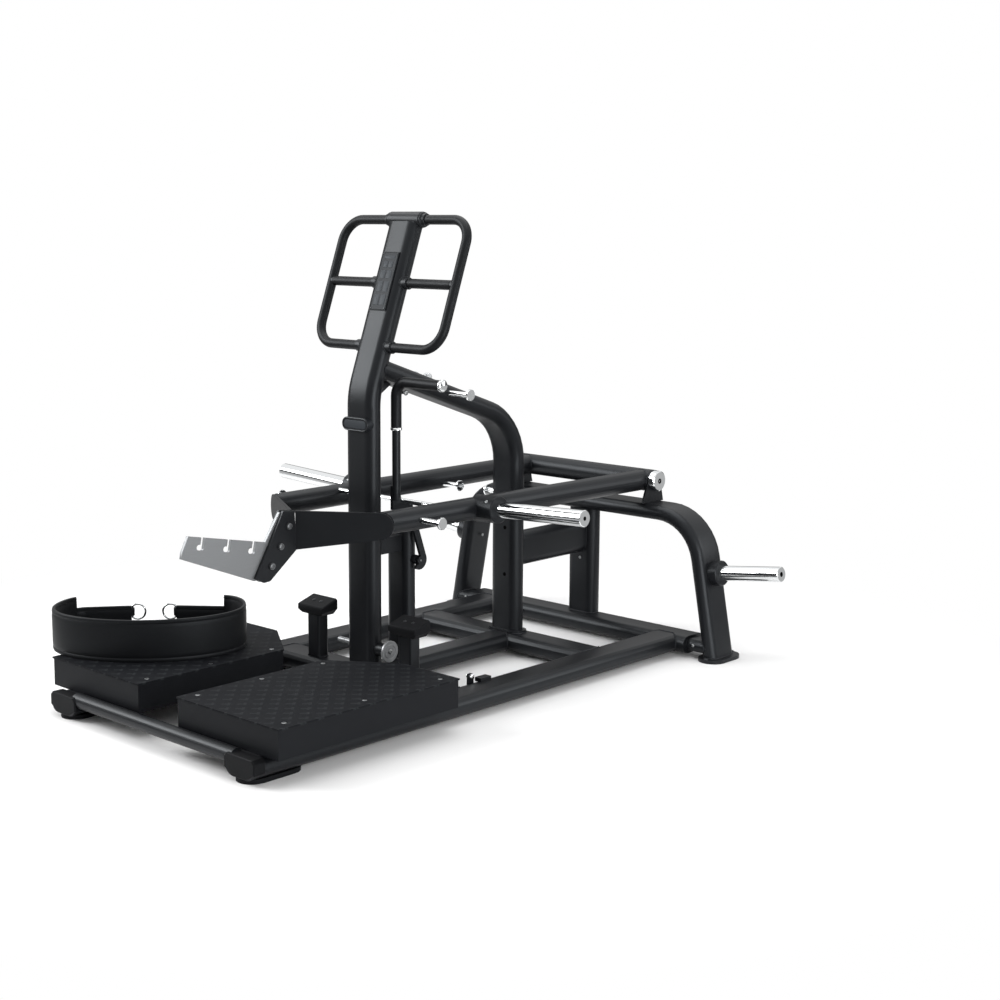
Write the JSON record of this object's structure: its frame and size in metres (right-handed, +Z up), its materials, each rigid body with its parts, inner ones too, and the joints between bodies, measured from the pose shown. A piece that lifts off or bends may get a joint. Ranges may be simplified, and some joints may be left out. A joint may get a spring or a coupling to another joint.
{
  "type": "sumo squat machine",
  "caption": "Plate-loaded sumo squat machine: two foot platforms, a raised mast with handles, a rear-hinged lever frame with weight sleeves, a catch lever and a padded hip belt.",
  "frame": {"origin": "middle of the footprint, on the floor", "axes": "+Z up, +X to the right of a user who stands on the platforms facing the mast, +Y from the platforms to the rear pivot"},
  "size_m": [1.6552, 1.9983, 1.4849],
  "materials": {
    "powder_coat": "satin black powder coat",
    "deck": "black powder coat with a fine grip texture",
    "rubber": "matt black rubber",
    "chrome": "polished chrome plate",
    "stainless": "brushed stainless steel",
    "belt": "matt black padded leather",
    "bare_plate": "satin dark plate, left bare"
  },
  "bodies": {
    "frame": {"rail_right": "powder_coat", "rail_left": "powder_coat", "front_cross_tube": "powder_coat", "mast_cross_tube": "powder_coat", "centre_tube": "powder_coat", "mid_cross_tube": "powder_coat", "rear_cross_tube": "powder_coat", "mast": "powder_coat", "top_collar": "powder_coat", "badge_plate": "bare_plate", "placard": "bare_plate", "handle_right": "powder_coat", "handle_left": "powder_coat", "spine": "powder_coat", "catch_post": "powder_coat", "rear_post": "powder_coat", "link_tube": "powder_coat", "rear_arch": "powder_coat", "foot_plate_right": "powder_coat", "foot_plate_left": "powder_coat", "front_pad_right": "rubber", "front_pad_left": "rubber", "storage_sleeve_right": "chrome", "storage_sleeve_left": "chrome", "pivot_bracket_right": "powder_coat", "pivot_bracket_left": "powder_coat", "pivot_shaft": "chrome", "platform_tray_right": "powder_coat", "platform_tray_left": "powder_coat", "deck_plate_right": "deck", "deck_plate_left": "deck", "bumper_post_right": "powder_coat", "bumper_post_left": "powder_coat", "bumper_right": "rubber", "bumper_left": "rubber", "spine_peg": "chrome", "upright_peg": "chrome", "low_peg": "chrome", "catch_pin": "powder_coat"},
    "lever_frame": {"pivot_tube": "powder_coat", "arm_right": "powder_coat", "arm_left": "powder_coat", "yoke_right": "powder_coat", "yoke_left": "powder_coat", "tongue": "stainless", "tongue_bolt_1": "stainless", "tongue_bolt_2": "stainless", "tongue_bolt_3": "stainless", "cross_rod": "chrome", "weight_sleeve_right": "chrome", "weight_sleeve_left": "chrome", "outer_peg_right": "chrome", "outer_peg_left": "chrome", "inner_peg_right": "chrome", "inner_peg_left": "chrome"},
    "catch": {"catch_lever": "powder_coat", "catch_grip": "rubber"},
    "belt": {"belt": "belt"},
    "ring_right": {"d_ring_right": "chrome"},
    "ring_left": {"d_ring_left": "chrome"}
  },
  "joints": [
    {"name": "lever_hinge", "type": "hinge", "parent": "frame", "child": "lever_frame", "pos_m": [0, 0.9145, 0.578], "axis": [-1, 0, 0], "range_deg": [0, 13]},
    {"name": "catch_hinge", "type": "hinge", "parent": "frame", "child": "catch", "pos_m": [0.072, 0.0015, 0.4], "axis": [1, 0, 0], "range_deg": [0, 14]},
    {"name": "belt_lift", "type": "slide", "parent": "frame", "child": "belt", "axis": [0, 0, 1], "range_m": [0, 0.25]},
    {"name": "ring_swing_right", "type": "hinge", "parent": "belt", "child": "ring_right", "pos_m": [-0.48172, -0.53266, 0.2333], "axis": [0, 0, 1], "range_deg": [-45, 45]},
    {"name": "ring_swing_left", "type": "hinge", "parent": "belt", "child": "ring_left", "pos_m": [-0.57519, -0.62945, 0.2333], "axis": [0, 0, 1], "range_deg": [-45, 45]}
  ]
}
